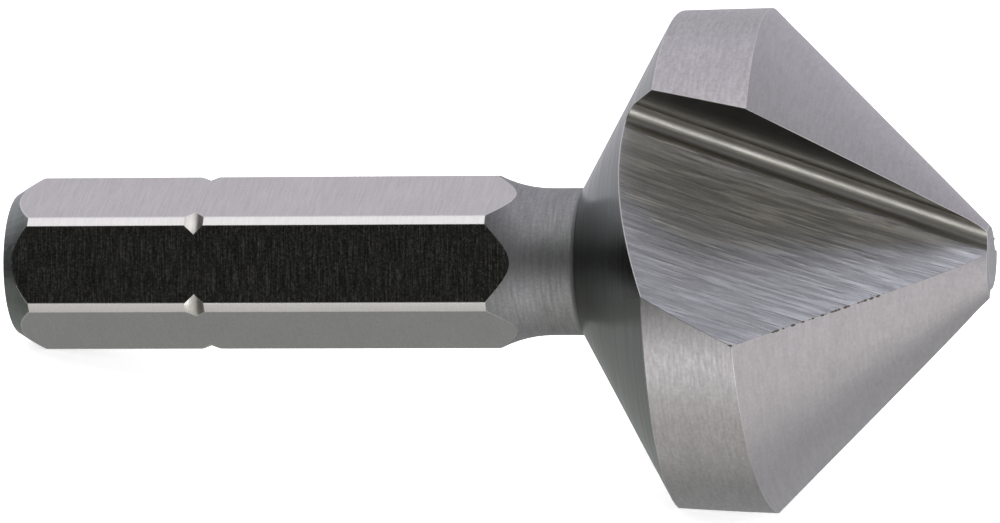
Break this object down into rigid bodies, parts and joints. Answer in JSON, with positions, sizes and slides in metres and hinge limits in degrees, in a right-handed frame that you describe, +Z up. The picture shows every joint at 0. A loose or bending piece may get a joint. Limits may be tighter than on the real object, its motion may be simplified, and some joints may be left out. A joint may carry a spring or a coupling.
{
  "type": "countersink bit",
  "caption": "Countersink bit in one piece: a fluted head with a 90 degree point, a turned neck and a hex drive shank.",
  "frame": {"origin": "on the ground, under the middle of the bit's bounding box, as the bit lies at rest on the two rear corners beside one flute and on the end of its shank", "axes": "+Z up, +X along the bit from its shank end towards its point, which is raised by 12.1 degrees, +Y across it"},
  "size_m": [0.0404, 0.0204, 0.0198],
  "materials": {
    "ground_steel": "ground and turned tool steel, bare, with fine grinding marks"
  },
  "bodies": {
    "root": {"countersink_bit": "ground_steel"}
  },
  "joints": []
}
